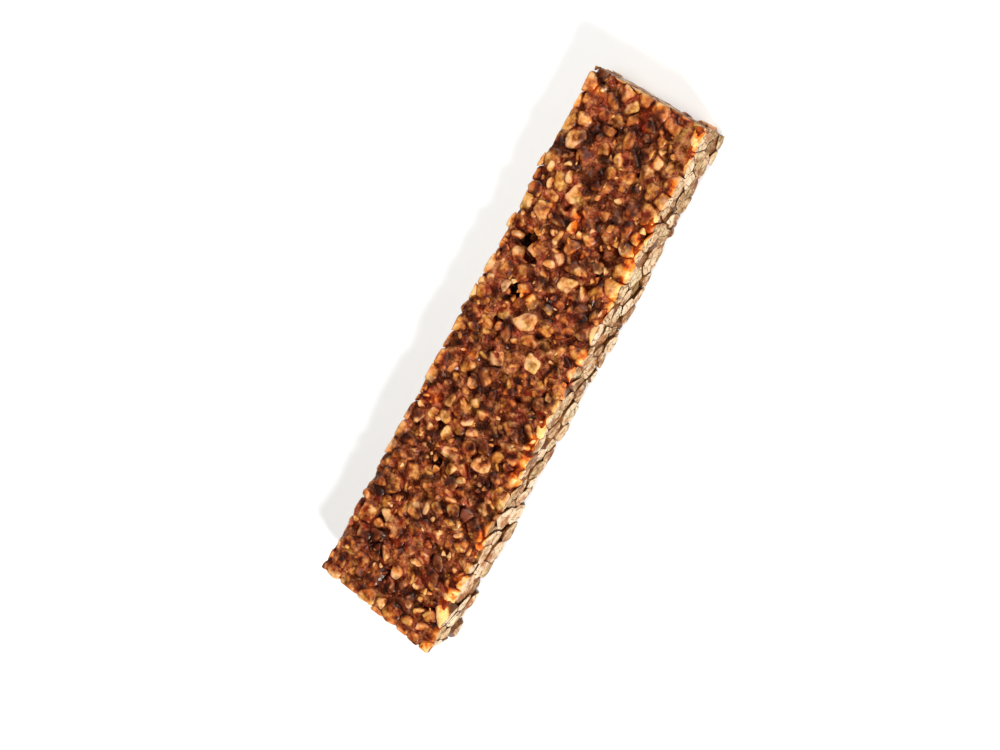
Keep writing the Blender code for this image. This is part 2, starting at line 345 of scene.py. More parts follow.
def nut_chunks():
    """(chunks, holes): the packing's nut pieces, broken as chopped nuts are, and where some fell out."""
    pieces = packing()
    tree = kdtree.KDTree(len(pieces))
    for index, (middle, _) in enumerate(pieces):
        tree.insert(middle, index)
    tree.balance()
    chunks, holes = Chunks(), []
    for index, (middle, radius) in enumerate(pieces):
        fell_out, tops, steps = shape_draws(index, middle, radius)
        draw = random.Random(index)
        cut = near_knife(middle, radius)
        if fell_out and not cut:
            if draw.random() < HOLE_SHARE and middle.z + CELL_REACH * radius > THICKNESS:
                holes.append((middle.x, middle.y, radius))
            continue
        if fell_out:
            tops = [(point - Vector((0, 0, SUNK)), normal) for point, normal in tops]
        tops[1:] = [(point, normal) for point, normal in tops[1:] if keeps_edges(normal, middle, radius)]
        half_gap = CUT_SEAM if cut else SEAM + draw.random() ** 2 * GAP_SPREAD
        planes = list(tops)
        for _, other, gap in tree.find_n(middle, NEIGHBOURS)[1:]:
            normal = (pieces[other][0] - middle) / gap
            share = (gap * gap + radius * radius - pieces[other][1] ** 2) / (2 * gap)
            planes.append((middle + normal * (share - half_gap), normal))
        planes.append((Vector((0, 0, draw.uniform(*FOOT_STEPS) * MM)), Vector((0, 0, -1))))
        if middle.x + CELL_REACH * radius > WIDTH / 2:
            steps[0] = min(steps[0] + draw.uniform(*SHOWN_STEPS), MOST_STEP)
            edge = Vector((WIDTH / 2 + steps[0], middle.y, 0.0))
            if middle.z + UPPER_REACH * radius > THICKNESS:
                planes.append(broken_corner(draw, edge + Vector((0, 0, THICKNESS)), UPPER_BREAKS))
            if middle.z < LOWER_REACH * radius:
                planes.append(broken_corner(draw, edge, LOWER_BREAKS))
        if cut and middle.z < FOOT_REACH * radius:
            for _ in range(CHIPS):
                turn = draw.uniform(0.0, math.tau)
                rim = Vector((math.cos(turn), math.sin(turn), 0.0)) * radius * draw.uniform(*CHIP_REACH)
                foot = Vector((middle.x, middle.y, 0.0)) + rim
                planes.append((foot, -tilted(-draw.uniform(*CHIP_SLOPES), turn)))
        if not cut:
            normal = any_direction(draw)
            normal.z = abs(normal.z)
            planes.append((middle + normal * radius * draw.uniform(*BREAK_REACH), normal))
        if not cut and radius > SPLIT_RADIUS and draw.random() < SPLIT_SHARE:
            normal = any_direction(draw)
            normal.z *= SPLIT_RISE
            normal.normalize()
            across = middle + normal * draw.uniform(*SPLIT_OFFSETS) * radius
            chunks.add(middle, radius, planes + [(across - normal * SPLIT_GAP, normal)], steps)
            top = Vector((middle.x, middle.y, THICKNESS - draw.uniform(*SPLIT_DROPS) * MM))
            planes.append((across + normal * SPLIT_GAP, -normal))
            planes.append((top, tilted(draw.uniform(*SPLIT_SLOPES), draw.uniform(0, math.tau))))
        chunks.add(middle, radius, planes, steps)
    return chunks.pack(LEAST_MARGIN), holes


class Field:
    """The distance to the nut pieces, blended, at each point of a grid round the bar."""

    def __init__(self):
        margin = Vector((GRID_SIDE, GRID_SIDE, 0.0))
        self.low = np.array([-WIDTH / 2, -LENGTH / 2, -GRID_BELOW]) - np.array(margin)
        high = np.array([WIDTH / 2, LENGTH / 2, THICKNESS + GRID_ABOVE]) + np.array(margin)
        self.shape = np.ceil((high - self.low) / GRID).astype(int) + 1
        self.axes = [self.low[a] + GRID * np.arange(self.shape[a]) for a in range(3)]
        self.total = np.zeros(self.shape)

    def add(self, chunks):
        """Blends in the chunks: a sum of exp(-distance / BLEND) over them all."""
        for row, middle in enumerate(chunks.middles):
            reach = PIECE_REACH * chunks.radii[row]
            start = np.clip(np.floor((middle - reach - self.low) / GRID).astype(int), 0, self.shape)
            end = np.clip(np.ceil((middle + reach - self.low) / GRID).astype(int) + 1, 0, self.shape)
            if (end <= start).any():
                continue
            x, y, z = (self.axes[a][start[a] : end[a]] for a in range(3))
            total = 0
            knives = [(normal, reach + step) for (normal, reach), step in zip(KNIVES, chunks.steps[row])]
            for normal, offset in [*zip(chunks.normals[row], chunks.offsets[row]), *knives]:
                if offset == FAR:
                    continue
                height = (
                    (normal[0] * x - offset)[:, None, None]
                    + (normal[1] * y)[None, :, None]
                    + (normal[2] * z)[None, None, :]
                )
                total = total + np.exp(np.minimum(height / SOFTNESS, MOST_POWER))
            distance = SOFTNESS * np.log(total)
            block = tuple(slice(a, b) for a, b in zip(start, end))
            self.total[block] += np.exp(-distance / BLEND)

    def nuts(self):
        """The blended distance to the nut pieces, negative inside them."""
        return -BLEND * np.log(np.maximum(self.total, EMPTY_TOTAL))

    def tops(self):
        """The height of the nuts' upper surface, or of the deepest pits, over each column of the grid."""
        nuts = self.nuts()
        inside = nuts[:, :, :-1] < 0
        highest = (inside.shape[2] - 1 - inside[:, :, ::-1].argmax(axis=2))[:, :, None]
        under = np.take_along_axis(nuts, highest, axis=2)[:, :, 0]
        over = np.take_along_axis(nuts, highest + 1, axis=2)[:, :, 0]
        heights = self.axes[2][highest[:, :, 0]] + GRID * under / np.minimum(under - over, -TINY)
        return np.maximum(np.where(inside.any(axis=2), heights, 0), THICKNESS - CORE_DROP)

    def column(self, x, y):
        """The (i, j) of the grid's column nearest to x, y."""
        return tuple(int(round((c - low) / GRID)) for c, low in zip((x, y), self.low))


def fragment_chunks(field, holes):
    """Small fragments that lie in the gaps of the rolled face, apart from the holes."""
    draw = random.Random(SEED)
    tops = field.tops()
    chunks = Chunks()
    buckets = {}
    bucket_side = 2 * FRAGMENT_SIZES[0][0]
    for radius, tries in FRAGMENT_SIZES:
        for _ in range(tries):
            x = draw.uniform(-WIDTH / 2 + radius, WIDTH / 2 - radius)
            y = draw.uniform(-LENGTH / 2 + radius, LENGTH / 2 - radius)
            if any(math.hypot(x - a, y - b) < size for a, b, size in holes):
                continue
            height = tops[field.column(x, y)]
            if height > THICKNESS - GAP_DEPTH and draw.random() > STRAY_SHARE:
                continue
            highest = THICKNESS - FRAGMENT_ROOM * radius
            middle = Vector((x, y, min(height + FRAGMENT_LIFT * radius, highest)))
            cell = (int(x // bucket_side), int(y // bucket_side))
            near = nearby(buckets, cell)
            if any((middle - n).length < FRAGMENT_SPACING * (radius + reach) for n, reach in near):
                continue
            buckets.setdefault(cell, []).append((middle, radius))
            stretch = any_direction(draw)
            stretch.z *= FRAGMENT_RISE
            stretch.normalize()
            planes = []
            for _ in range(FRAGMENT_BREAKS):
                normal = any_direction(draw)
                share = FRAGMENT_WAIST + FRAGMENT_GAIN * abs(normal.dot(stretch))
                out = normal * radius * share * draw.uniform(*FRAGMENT_REACH)
                planes.append((middle + out, normal))
            for way in BOX_WAYS:
                planes.append((middle + Vector(way) * radius, Vector(way)))
            chunks.add(middle, radius, planes)
    return chunks.pack(FRAGMENT_MARGIN)


def sliver_chunks(field):
    """Thin slivers of nut that lie on the rolled face, at any turn and with a slight lean."""
    draw = random.Random(SEED)
    tops = field.tops()
    chunks = Chunks()
    for _ in range(SLIVERS):
        halves = [draw.uniform(*sizes) for sizes in SLIVER_HALVES]
        x = draw.uniform(-1, 1) * (WIDTH / 2 - 2 * halves[0])
        y = draw.uniform(-1, 1) * (LENGTH / 2 - 2 * halves[0])
        turn, lean = draw.uniform(0.0, math.tau), draw.uniform(-SLIVER_LEAN, SLIVER_LEAN)
        ahead = Vector((math.cos(turn), math.sin(turn), lean)).normalized()
        side = ahead.cross(Vector((0, 0, 1))).normalized()
        middle = Vector((x, y, min(tops[field.column(x, y)], THICKNESS - 2 * halves[2])))
        planes = []
        for axis, half in zip((ahead, side, side.cross(ahead)), halves):
            for way in (axis, -axis):
                normal = (way + SLIVER_ASKEW * any_direction(draw)).normalized()
                planes.append((middle + way * half, normal))
        normal = (ahead + side * draw.choice((-1, 1))).normalized()
        planes.append((middle + normal * halves[1], normal))
        chunks.add(middle, halves[0], planes)
    return chunks.pack(SLIVER_MARGIN)


def lattice_noise(points, size, seed):
    """Smooth noise from -1 to 1 at each point, with features of this size."""
    scaled = points / size + SEED_SHIFT * seed
    corner = np.floor(scaled).astype(np.int64)
    part = scaled - corner
    part = part * part * (3 - 2 * part)
    total = np.zeros(len(points))
    for offset in itertools.product((0, 1), repeat=3):
        x, y, z = (corner + np.array(offset)).T
        # A spatial hash: large numbers mixed by shifts, whose low 16 bits give the value
        mixed = (x * 73856093) ^ (y * 19349663) ^ (z * 83492791) ^ (seed * 2654435)
        mixed = ((mixed ^ (mixed >> 13)) * 1274126177) & 0xFFFFFFFF
        value = ((mixed ^ (mixed >> 16)) & 0xFFFF) / 32767.5 - 1
        total += value * np.prod(np.where(np.array(offset), part, 1 - part), axis=1)
    return total


def caramel_level(field):
    """How high the caramel comes between the nuts: the height of their tops, smoothed."""
    level = field.tops()
    for axis in (0, 1, 0, 1, 0, 1):
        level = sum(np.roll(level, step, axis) for step in (-1, 0, 1)) / 3
    return level[:, :, None]


def caramel_field(field, holes):
    """The caramel, negative inside: a core, and a film round the nuts that the knife cut back."""
    grid = np.meshgrid(*field.axes, indexing="ij")
    points = np.stack([g.ravel() for g in grid], axis=1)
    wide, fine, pitted = (lattice_noise(points, *noise).reshape(field.shape) for noise in NOISES)
    x, y, z = grid
    knife = np.maximum(abs(x) - WIDTH / 2, abs(y) - LENGTH / 2)
    pits = np.clip(PIT_SLOPE * pitted - PIT_START, 0, 1)
    wander = (LEVEL_WIDE_MM * wide + LEVEL_FINE_MM * fine) * MM
    level = caramel_level(field) - LEVEL_DROP - PIT_DEPTH * pits + wander
    for a, b, size in holes:
        level = level - HOLE_DEPTH * np.exp(-((x - a) ** 2 + (y - b) ** 2) / size**2)
    core = np.maximum(z - level, knife + CORE_SIDE)
    rim = np.clip(1 + knife / RIM, 0, 1)
    corner = np.exp(-((x - CORNER[0]) ** 2 + (y - CORNER[1]) ** 2) / CORNER_REACH**2)
    thinner = FILM_WIDE_MM * wide + FILM_FINE_MM * fine - FILM_RIM_MM * rim - FILM_CORNER_MM * corner
    film = FILM + thinner * MM
    shown_side = np.clip(x / RIM, 0, 1)
    trimmed = knife + (TRIM_MM + TRIM_SHOWN_MM * shown_side + TRIM_FINE_MM * fine) * MM
    base = (BASE_MM + BASE_FINE_MM * fine + BASE_RIM_MM * rim * shown_side) * MM - z
    return np.maximum(np.minimum(core, field.nuts() + film), np.maximum(trimmed, base))


def surface_net(field, low):
    """(points, quads) of the surface where the field is 0: one point in each grid cell it crosses."""
    inside = field < 0
    cells = tuple(n - 1 for n in field.shape)
    corners = list(itertools.product((0, 1), repeat=3))
    part = {c: tuple(slice(o, o + n) for o, n in zip(c, cells)) for c in corners}
    count = sum(inside[part[c]].astype(np.int8) for c in corners)
    active = (count > 0) & (count < 8)
    index = np.full(cells, -1)
    index[active] = np.arange(active.sum())
    total = np.zeros((active.sum(), 3))
    hits = np.zeros(active.sum())
    for a, b in itertools.combinations(corners, 2):
        if sum(abs(p - q) for p, q in zip(a, b)) != 1:
            continue
        start, end = field[part[a]][active], field[part[b]][active]
        crossed = (start < 0) != (end < 0)
        along = np.where(crossed, start / np.where(crossed, start - end, 1), 0)
        point = np.array(a) + along[:, None] * (np.array(b) - np.array(a))
        total[crossed] += point[crossed]
        hits[crossed] += 1
    base = np.stack(np.nonzero(active), axis=1)
    points = low + GRID * (base + total / hits[:, None])
    quads = []
    for axis in range(3):
        turned = np.moveaxis(inside, axis, 0)
        behind, ahead = (np.moveaxis(side, 0, axis) for side in (turned[:-1], turned[1:]))
        b, c = (axis + 1) % 3, (axis + 2) % 3
        for crossing, flip in ((behind & ~ahead, False), (~behind & ahead, True)):
            at = np.stack(np.nonzero(crossing), axis=1)
            ring = []
            for back_b, back_c in ((1, 1), (0, 1), (0, 0), (1, 0)):
                where = at.copy()
                where[:, b] -= back_b
                where[:, c] -= back_c
                ring.append(index[tuple(where.T)])
            quad = np.stack(ring, axis=1)
            quads.append(quad[:, ::-1] if flip else quad)
    return points, np.concatenate(quads)


def without_scraps(points, quads):
    """The (points, quads) of the one body with the most points. The small loose scraps are left out."""
    body = np.arange(len(points))
    linked = False
    while not linked:
        least = body[quads].min(axis=1)
        lower = body.copy()
        np.minimum.at(lower, quads.ravel(), np.repeat(least, 4))
        lower = lower[lower]
        linked = (lower == body).all()
        body = lower
    kept = body == np.bincount(body).argmax()
    place = np.cumsum(kept) - 1
    return points[kept], place[quads[kept[quads[:, 0]]]]


def crowding(solid):
    """How much of the space within about 1.7 mm of each grid point is solid, from 0 to 1."""
    share = solid.astype(np.float32)
    for axis in (0, 1, 2, 0, 1, 2):
        share = sum(np.roll(share, step, axis) for step in (-2, -1, 0, 1, 2)) / 5
    return share


def sample(values, low, points):
    """The grid's values at the points, blended between the eight grid points round each."""
    place = np.clip((points - low) / GRID, 0, np.array(values.shape) - LAST_CELL)
    corner = place.astype(int)
    part = place - corner
    total = 0
    for offset in itertools.product((0, 1), repeat=3):
        weight = np.prod(np.where(np.array(offset), part, 1 - part), axis=1)
        total = total + weight * values[tuple((corner + np.array(offset)).T)]
    return total


def unit_ball(level):
    """(directions, triangles) of an icosphere."""
    ball = bmesh.new()
    bmesh.ops.create_icosphere(ball, subdivisions=level, radius=1.0)
    directions = np.array([tuple(corner.co) for corner in ball.verts])
    faces = np.array([[corner.index for corner in face.verts] for face in ball.faces])
    ball.free()
    return directions / np.linalg.norm(directions, axis=1)[:, None], faces


def chunk_surfaces(chunks, rows, level, lean):
    """(points, triangles, row of each point) of the chunks in rows.

    Each chunk is a ball of rays from its middle, gathered towards its lean, where it shows. A ray
    ends where the softened planes do: k ln sum exp(height / k) = 0, which Newton's steps find.
    """
    directions, faces = unit_ball(level)
    rays = directions + np.array(lean)
    rays /= np.linalg.norm(rays, axis=1)[:, None]
    normals, middles = chunks.normals[rows], chunks.middles[rows]
    rates = np.einsum("npk,vk->nvp", normals, rays)
    heights = (np.einsum("npk,nk->np", normals, middles) - chunks.offsets[rows])[:, None]
    with np.errstate(divide="ignore", invalid="ignore"):
        reach = np.where(rates > LEAST_RATE, -heights / rates, FAR).min(axis=2)
    for _ in range(SURFACE_STEPS):
        lifted = (heights + rates * reach[..., None]) / SOFTNESS
        peak = lifted.max(axis=2)
        weights = np.exp(lifted - peak[..., None])
        total = weights.sum(axis=2)
        value = SOFTNESS * (peak + np.log(total))
        slope = (weights * rates).sum(axis=2) / total
        reach = np.clip(reach - value / np.maximum(slope, LEAST_SLOPE), LEAST_REACH, None)
    points = (middles[:, None] + rays * reach[..., None]).reshape(-1, 3)
    outward = np.tile(rays, (len(rows), 1))
    owner = np.repeat(rows, len(directions))
    apart = points + PIECE_APART * owner[:, None]
    rough = COARSE_MM * lattice_noise(apart, *COARSE)
    rough += GRAIN_MM * lattice_noise(points, *GRAIN)
    points = points + outward * (rough * MM * np.minimum(1, chunks.radii[owner] / MM))[:, None]
    shift = len(directions) * np.arange(len(rows))
    triangles = (faces[None] + shift[:, None, None]).reshape(-1, 3)
    return points, triangles, owner


def reaches(chunks):
    """(lowest, highest) corner of the box round each chunk."""
    rows = np.arange(len(chunks.middles))
    points = chunk_surfaces(chunks, rows, COARSE_BALL, (0, 0, 0))[0].reshape(len(rows), -1, 3)
    return points.min(axis=1), points.max(axis=1)


def points_of(mesh):
    """The mesh's points, as an array."""
    flat = np.empty(len(mesh.vertices) * 3)
    mesh.vertices.foreach_get("co", flat)
    return flat.reshape(-1, 3)


def owners_of(mesh):
    """The row of each point's chunk."""
    values = np.empty(len(mesh.vertices), np.float32)
    mesh.attributes["piece"].data.foreach_get("value", values)
    return np.round(values).astype(int)


def cut_places(mesh, chunks, side):
    """Each point's chunk, its middle, and its step beyond one knife's plane."""
    owner = owners_of(mesh)
    shift = chunks.steps[owner, side][:, None] * np.array(KNIVES[side][0])
    return owner, chunks.middles[owner], shift


def knife_cut(mesh, chunks, side):
    """Cuts the mesh's chunks at one knife's plane, each a little out or back of it and askew."""
    normal, reach = KNIVES[side]
    draw = np.random.default_rng(side)
    count = len(chunks.middles)
    axes = draw.normal(size=(count, 3))
    turns = np.array(
        [Matrix.Rotation(a, 3, Vector(axis)) for a, axis in zip(draw.uniform(-ASKEW, ASKEW, count), axes)]
    )
    owner, middles, shift = cut_places(mesh, chunks, side)
    turned = np.einsum("nij,nj->ni", turns[owner], points_of(mesh) - middles) + middles - shift
    mesh.vertices.foreach_set("co", turned.ravel())
    shape = bmesh.new()
    shape.from_mesh(mesh)
    cut = bmesh.ops.bisect_plane(
        shape,
        geom=shape.verts[:] + shape.edges[:] + shape.faces[:],
        dist=CUT_MERGE,
        plane_co=Vector(normal) * reach,
        plane_no=normal,
        clear_outer=True,
    )
    rim = [edge for edge in cut["geom_cut"] if isinstance(edge, bmesh.types.BMEdge)]
    for face in bmesh.ops.edgeloop_fill(shape, edges=rim)["faces"]:
        face.material_index = 1
    shape.to_mesh(mesh)
    shape.free()
    owner, middles, shift = cut_places(mesh, chunks, side)
    back = np.einsum("nji,nj->ni", turns[owner], points_of(mesh) + shift - middles) + middles
    mesh.vertices.foreach_set("co", back.ravel())


def hand_cut(points):
    """The points moved as the bar's corners are, each corner counting by how near a point is."""
    across = 0.5 + points[:, 0] / WIDTH
    along = 0.5 + points[:, 1] / LENGTH
    up = points[:, 2] / THICKNESS
    moved = points.copy()
    for (x, y, face), shift in CORNER_SHIFTS.items():
        share_x = across if x > 0 else 1 - across
        share_y = along if y > 0 else 1 - along
        weight = share_x * share_y * (up if face else 1 - up)
        moved[:, :2] += weight[:, None] * np.array(shift)
    return moved


def add_values(mesh, name, values):
    """One number for each of the mesh's points, which a material can read."""
    mesh.attributes.new(name, "FLOAT", "POINT").data.foreach_set("value", np.asarray(values, np.float32))


def placed(name, data):
    """A new object of this data, in the scene."""
    made = bpy.data.objects.new(name, data)
    bpy.context.scene.collection.objects.link(made)
    return made


def finished(mesh, materials):
    """The mesh as an object that rides on the bar, with smooth faces apart from the cut ones."""
    points = hand_cut(points_of(mesh))
    points[:, 2] = np.maximum(points[:, 2], 0)
    mesh.vertices.foreach_set("co", points.ravel())
    for material in materials:
        mesh.materials.append(material)
    slots = np.empty(len(mesh.polygons), np.int32)
    mesh.polygons.foreach_get("material_index", slots)
    mesh.polygons.foreach_set("use_smooth", slots == 0)
    mesh.update()
    made = placed(mesh.name, mesh)
    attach(made, BODY)
    return made


def nut_object(name, chunks, groups, tones, crowds, materials, cut=False):
    """One object of the chunks in (rows, level, lean) groups, with each point's tone, hue and crowd."""
    points, triangles, owners = [], [], []
    count = 0
    for rows, level, lean in groups:
        for some in np.array_split(rows, max(1, len(rows) // BATCH)):
            made = chunk_surfaces(chunks, some, level, lean)
            points.append(made[0])
            triangles.append(made[1] + count)
            owners.append(made[2])
            count += len(made[0])
    mesh = bpy.data.meshes.new(name)
    mesh.from_pydata(np.concatenate(points), [], np.concatenate(triangles))
    add_values(mesh, "piece", np.concatenate(owners))
    if cut:
        for side in range(len(KNIVES)):
            knife_cut(mesh, chunks, side)
    add_values(mesh, "tone", tones[owners_of(mesh)])
    hues = np.random.default_rng(HUE_SEED).random(len(tones))
    add_values(mesh, "hue", hues[owners_of(mesh)])
    add_values(mesh, "crowd", sample(*crowds, points_of(mesh)))
    return finished(mesh, materials)


def caramel_object(field, caramel, crowds, material):
    """The caramel. Its film value is how far a point lies outside the nuts, and pit how deep it is, which
    drives the painted shade in deep pits.
    """
    points, quads = without_scraps(*surface_net(caramel, field.low))
    mesh = bpy.data.meshes.new("caramel")
    mesh.from_pydata(points, [], quads)
    add_values(mesh, "film", sample(field.nuts(), field.low, points) / MM)
    add_values(mesh, "crowd", sample(*crowds, points))
    inner = (abs(points[:, 0]) < WIDTH / 2 - MM) & (abs(points[:, 1]) < LENGTH / 2 - MM)
    inner &= points[:, 2] > THICKNESS / 2
    # pit: how far a point lies below the depth where the caramel's painted shade turns black
    add_values(mesh, "pit", inner * np.clip((THICKNESS - PAINTED_SHADE_DEPTH - points[:, 2]) / MM, 0, 1))
    return finished(mesh, [material])


def linear(code):
    """The linear colour of an sRGB hex code."""
    parts = [int(code[i : i + 2], 16) / 255 for i in (0, 2, 4)]
    return [c / 12.92 if c <= 0.04045 else ((c + 0.055) / 1.055) ** 2.4 for c in parts] + [1.0]


class Material:
    """A Principled material, with short ways to add and link nodes."""

    def __init__(self, name, **settings):
        self.made = bpy.data.materials.new(name)
        self.made.use_nodes = True
        self.tree = self.made.node_tree
        self.shader = self.tree.nodes["Principled BSDF"]
        for socket, value in settings.items():
            self.set(self.shader, socket.replace("_", " "), value)
        self.place = self.tree.nodes.new("ShaderNodeTexCoord").outputs["Object"]

    def set(self, node, socket, value):
        """Links a socket to the node's own, or gives that one a value."""
        if isinstance(value, bpy.types.NodeSocket):
            self.tree.links.new(value, node.inputs[socket])
        else:
            node.inputs[socket].default_value = value

    def new(self, kind, inputs, **settings):
        """A new node of this kind. Its settings are made before its inputs are set or linked."""
        node = self.tree.nodes.new("ShaderNode" + kind)
        for name, value in settings.items():
            setattr(node, name, value)
        for socket, value in inputs.items():
            self.set(node, socket, value)
        return node

    def noise(self, size, detail=3.0, rough=0.55):
        """Noise about 0.5 with features of this size."""
        inputs = {"Vector": self.place, "Scale": 1 / size, "Detail": detail, "Roughness": rough}
        return self.new("TexNoise", inputs).outputs["Fac"]

    def edges(self, size):
        """How far a point lies from the borders of cells of this size, as a share of it."""
        inputs = {"Vector": self.place, "Scale": 1 / size}
        return self.new("TexVoronoi", inputs, feature="DISTANCE_TO_EDGE").outputs["Distance"]

    def along(self, axis):
        """How far a point lies along this axis of the bar, in metres."""
        return self.new("SeparateXYZ", {"Vector": self.place}).outputs[axis]

    def value(self, name):
        """The mesh's own number of this name at a point."""
        return self.new("Attribute", {}, attribute_name=name).outputs["Fac"]

    def sum(self, *terms):
        """The sum of (socket, factor) terms and plain numbers."""
        total = 0.0
        for term in terms:
            socket, factor = term if isinstance(term, tuple) else (1.0, term)
            inputs = {0: socket, 1: factor, 2: total}
            total = self.new("Math", inputs, operation="MULTIPLY_ADD").outputs[0]
        return total

    def ramp(self, factor, stops):
        """Colours from a dict of position to sRGB code."""
        node = self.new("ValToRGB", {"Fac": factor})
        elements = node.color_ramp.elements
        while len(elements) < len(stops):
            elements.new(0.5)
        for element, (position, code) in zip(elements, sorted(stops.items())):
            element.position = position
            element.color = linear(code)
        return node.outputs["Color"]

    def step(self, factor, low, high):
        """0 below low, 1 above high, and smooth between."""
        inputs = {"Value": factor, "From Min": low, "From Max": high}
        return self.new("MapRange", inputs, interpolation_type="SMOOTHSTEP").outputs["Result"]

    def mix(self, factor, first, second, how="MIX"):
        """The first colour, and by the factor the second. Sockets 6, 7 and 2 are the colours'."""
        inputs = {0: factor, 6: first, 7: second}
        return self.new("Mix", inputs, data_type="RGBA", blend_type=how).outputs[2]

    def bump(self, height, depth):
        """Relief of this depth, for each 1 of the height."""
        node = self.new("Bump", {"Height": height, "Distance": depth, "Strength": 1.0})
        self.set(self.shader, "Normal", node.outputs["Normal"])


def tinted(material, colour, strength):
    """The colour, here redder and there yellower, and darker where more caramel lies over it."""
    tints = {0.32: "ffb4c8", 0.5: "fff8ee", 0.68: "e8ffa8"}
    tint = material.ramp(material.noise(3 * MM, 2.0, 0.5), tints)
    shade = material.ramp(material.noise(6 * MM, 3.0, 0.6), {0.50: "ffffff", 0.62: "80585a"})
    return material.mix(1.0, material.mix(strength, colour, tint, "MULTIPLY"), shade, "MULTIPLY")


def painted_glow_share(material):
    """Where a glow of light shining through from the pale side is painted: patches along its upper edge,
    more at +Y.
    """
    rim = material.step(material.along("X"), WIDTH / 2 - 3.0 * MM, WIDTH / 2 - 0.6 * MM)
    high = material.step(material.along("Z"), THICKNESS - GLOW_DEPTH, THICKNESS - 0.4 * GLOW_DEPTH)
    noise = material.noise(9 * MM, 2.0, 0.7)
    patches = material.sum((rim, 0.45), (high, 0.5), (noise, 2.0), (material.along("Y"), 1.5), -1.0)
    return material.step(patches, 0.70, 0.98)


def seam_share(material):
    """Where the pale side's seams are: near that side, and below its upper edge."""
    near = material.step(material.along("X"), WIDTH / 2 - 1.2 * MM, WIDTH / 2 - 0.4 * MM)
    low = material.step(material.along("Z"), THICKNESS - 1.0 * MM, THICKNESS - 2.5 * MM)
    return material.step(material.sum((near, 1.0), (low, 1.0)), 1.1, 1.8)


def nut_material():
    """Roasted nut: mottled, painted lighter and golden where it stands out and darker in the gaps, where
    painted shade mixes with a wash of caramel colour; a painted glow shows near the pale side's upper
    edge.
    """
    nut = Material("roasted_nut", Roughness=0.4)
    spots, grain, drift = nut.noise(1.9 * MM, 2.0, 0.5), nut.noise(0.5 * MM), nut.noise(16 * MM)
    mottle = nut.sum((spots, 1.9), (grain, 0.7), (drift, 0.8), -1.7)
    crowd = nut.value("crowd")
    # painted shade: the crowd term makes a nut darker in crowded gaps and lighter where it stands out
    tone = nut.sum((nut.value("tone"), 0.72), (mottle, 1.0), (crowd, -1.7), 0.96)
    golden = nut.ramp(tone, {0.0: "3a1000", 0.25: "824616", 0.5: "b2742e", 0.75: "c8924c", 1.0: "dcb07a"})
    ruddy = nut.ramp(tone, {0.0: "340600", 0.25: "783010", 0.5: "aa5c26", 0.75: "c27e42", 1.0: "d6a26e"})
    hue = nut.sum((nut.value("hue"), 0.5), (nut.noise(2.6 * MM), 1.4))
    colour = nut.mix(nut.step(hue, 0.55, 1.25), golden, ruddy)
    # darker and caramel-coloured in crowded gaps: partly a real wash of caramel, partly painted shade
    wash_and_shade = nut.step(nut.sum((crowd, 1.0), (nut.noise(2.5 * MM), 0.6)), 0.74, 0.92)
    washed_and_shaded = nut.mix(1.0, colour, linear("94441c"), "MULTIPLY")
    colour = tinted(nut, nut.mix(wash_and_shade, colour, washed_and_shaded), 0.35)
    # painted glow of light shining through, near the pale side's upper edge
    colour = nut.mix(painted_glow_share(nut), colour, nut.ramp(tone, PAINTED_GLOW))
    pale = nut.ramp(mottle, {0.0: "502c10", 0.4: "8e5e34", 0.9: "b88c5c"})
    nut.set(nut.shader, "Base Color", nut.mix(seam_share(nut), colour, pale))
    nut.set(nut.shader, "Specular IOR Level", 0.35)
    nut.set(nut.shader, "Coat Weight", 0.15)
    nut.set(nut.shader, "Coat Roughness", 0.12)
    nut.set(nut.shader, "Specular Tint", (1.0, 0.6, 0.4, 1.0))
    nut.bump(nut.sum((nut.noise(0.35 * MM), 0.6), (nut.noise(0.9 * MM), 1.4)), 0.12 * MM)
    return nut.made


def cut_material():
    """Nut flesh where the knife went through it, with fine brown cracks."""
    cut = Material("cut_nut", Roughness=0.6)
    spots, grain = cut.noise(1.6 * MM), cut.noise(0.35 * MM)
    tone = cut.sum((cut.value("tone"), 0.9), (spots, 1.8), (grain, 0.8), -1.15)
    pink = cut.ramp(tone, {0.0: "64401e", 0.25: "90643c", 0.5: "b48e64", 0.75: "caa682", 1.0: "d0b090"})
    cream = cut.ramp(tone, {0.0: "66441e", 0.25: "906e3e", 0.5: "b6986c", 0.75: "c6b08a", 1.0: "cec0a2"})
    hue = cut.sum((cut.value("hue"), 0.5), (cut.noise(2.2 * MM), 1.4))
    colour = cut.mix(cut.step(hue, 0.6, 1.3), pink, cream)
    stained = cut.mix(1.0, colour, linear("c08850"), "MULTIPLY")
    colour = cut.mix(cut.step(cut.noise(4 * MM, 4.0), 0.50, 0.64), colour, stained)
    crack = cut.sum((cut.edges(2.1 * MM), 1.0), (cut.noise(0.6 * MM), 0.2), -0.1)
    colour = cut.mix(cut.step(crack, 0.0, 0.04), linear("5a3418"), colour)
    cut.set(cut.shader, "Base Color", colour)
    cut.set(cut.shader, "Specular IOR Level", 0.3)
    cut.bump(cut.sum((cut.noise(0.25 * MM), 1.0), (cut.step(crack, 0.0, 0.08), 1.0)), 0.12 * MM)
    return cut.made


